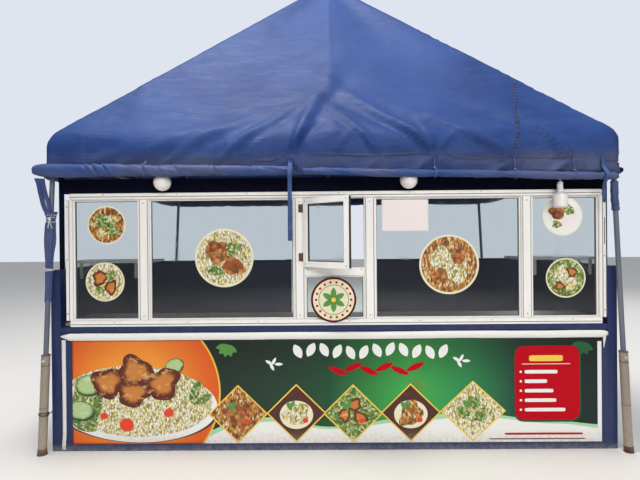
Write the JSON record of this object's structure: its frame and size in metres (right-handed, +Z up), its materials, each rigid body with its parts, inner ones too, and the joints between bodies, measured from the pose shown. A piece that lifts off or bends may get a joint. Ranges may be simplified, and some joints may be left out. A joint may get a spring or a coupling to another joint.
{
  "type": "street food kiosk",
  "caption": "Glazed serving counter with low painted walls and an open hatch, under a pitched tarpaulin canopy on splayed pipe legs.",
  "frame": {"origin": "on the ground, at the middle of the object's box", "axes": "+X to the right along the serving front, +Y from the serving front towards the back, +Z up"},
  "size_m": [4.1474, 3.3504, 4.03],
  "materials": {
    "navy_paint": "gloss enamel, worn at the edges",
    "white_aluminium": "white powder coat",
    "clear_glass": "clear float glass",
    "printed_banner": "printed vinyl sheet",
    "white_cloth": "white vinyl sheet",
    "counter_board": "laminated board",
    "shelf_board": "white laminated board",
    "grey_pipe": "galvanised pipe, thinly painted and rusty",
    "tarpaulin": "blue coated tarpaulin",
    "webbing": "blue woven webbing",
    "rusty_steel": "rusted steel",
    "lamp_plastic": "white lamp plastic"
  },
  "bodies": {
    "root": {"front_posts": "navy_paint", "rear_posts": "navy_paint", "door_posts": "navy_paint", "base_rails": "navy_paint", "wall_cap_rails": "navy_paint", "side_wall_left": "navy_paint", "side_wall_right": "navy_paint", "back_wall_left": "navy_paint", "back_wall_right": "navy_paint", "front_sill_rail": "navy_paint", "front_panel": "navy_paint", "front_stiles": "navy_paint", "banner": "printed_banner", "banner_fold": "white_cloth", "counter_top": "counter_board", "counter_bearer": "navy_paint", "shelves": "shelf_board", "window_bottom_track": "white_aluminium", "window_top_track": "white_aluminium", "window_jambs": "white_aluminium", "window_mullions": "white_aluminium", "hatch_transom": "white_aluminium", "window_glass": "clear_glass", "hatch_leaf": "white_aluminium", "hatch_glass": "clear_glass", "hatch_hinges": "rusty_steel", "window_header": "navy_paint", "lower_legs": "grey_pipe", "upper_legs": "grey_pipe", "corner_fittings": "grey_pipe", "eave_pipes": "grey_pipe", "hip_rafters": "grey_pipe", "middle_rafters": "grey_pipe", "apex_hub": "grey_pipe", "roof_front": "tarpaulin", "roof_back": "tarpaulin", "roof_left": "tarpaulin", "roof_right": "tarpaulin", "front_rolls": "tarpaulin", "side_rolls": "tarpaulin", "rear_roll": "tarpaulin", "curtain_bundle": "tarpaulin", "leg_sleeve": "tarpaulin", "straps": "webbing", "lamp_holders": "lamp_plastic", "lamp_bulbs": "lamp_plastic"}
  },
  "joints": []
}
